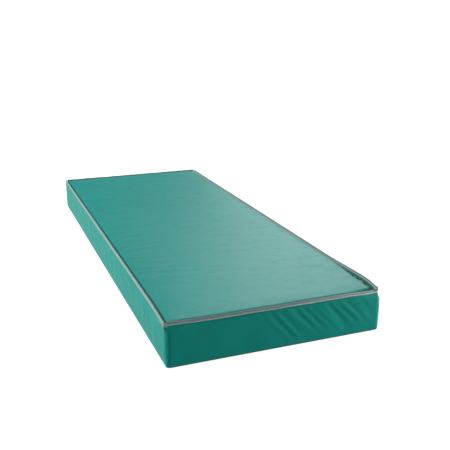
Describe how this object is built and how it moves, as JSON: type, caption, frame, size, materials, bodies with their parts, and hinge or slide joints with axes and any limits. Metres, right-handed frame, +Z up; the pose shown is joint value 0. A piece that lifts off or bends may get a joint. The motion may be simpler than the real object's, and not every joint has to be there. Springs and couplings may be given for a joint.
{
  "type": "pressure relief mattress",
  "caption": "Foam hospital mattress in a piped, coated cover whose upper shell hinges open on one long side to show a castellated foam core.",
  "frame": {"origin": "on the surface the mattress lies on, under the middle of its length and width", "axes": "+Z up, +Y towards the head end, +X towards the right-hand side seen from the foot end"},
  "size_m": [0.76, 1.98, 0.158],
  "materials": {
    "cover_fabric": "polyurethane-coated knitted fabric, soft sheen",
    "base_fabric": "non-slip coated woven fabric, matt",
    "piping": "coated tape over a round cord, soft sheen",
    "binding": "folded woven binding tape, matt",
    "zip_tape": "woven tape with a nylon coil",
    "zip_metal": "plated zinc, lightly worn",
    "firm_foam": "open-cell polyurethane foam, matt",
    "rail_foam": "open-cell polyurethane foam, matt",
    "soft_foam": "open-cell viscoelastic foam, matt"
  },
  "bodies": {
    "core_and_base": {"base_panel": "base_fabric", "zip_tape_lower": "zip_tape", "zip_stop_head": "zip_metal", "zip_stop_foot": "zip_metal", "base_foam": "firm_foam", "rail_left": "rail_foam", "rail_right": "rail_foam", "rail_foot": "rail_foam", "rail_head": "rail_foam", "insert_heel": "soft_foam", "insert_torso": "soft_foam", "insert_head": "soft_foam"},
    "upper_cover": {"top_panel": "cover_fabric", "border_left": "cover_fabric", "border_right": "cover_fabric", "border_foot": "cover_fabric", "border_head": "cover_fabric", "piping_left": "piping", "piping_right": "piping", "piping_foot": "piping", "piping_head": "piping", "binding_left": "binding", "binding_right": "binding", "binding_foot": "binding", "binding_head": "binding", "zip_tape_upper": "zip_tape"},
    "zip_slider": {"zip_slider": "zip_metal"},
    "zip_pull": {"zip_pull": "zip_metal"}
  },
  "joints": [
    {"name": "cover_open", "type": "hinge", "parent": "core_and_base", "child": "upper_cover", "pos_m": [0.38, 0, 0.012], "axis": [0, 1, 0], "range_deg": [0, 80]},
    {"name": "zip_travel", "type": "slide", "parent": "core_and_base", "child": "zip_slider", "axis": [-1, 0, 0], "range_m": [0, 0.66]},
    {"name": "pull_swing", "type": "hinge", "parent": "zip_slider", "child": "zip_pull", "pos_m": [0.3575, 0.98675, 0.012], "axis": [0, 0, -1], "range_deg": [0, 110]}
  ]
}
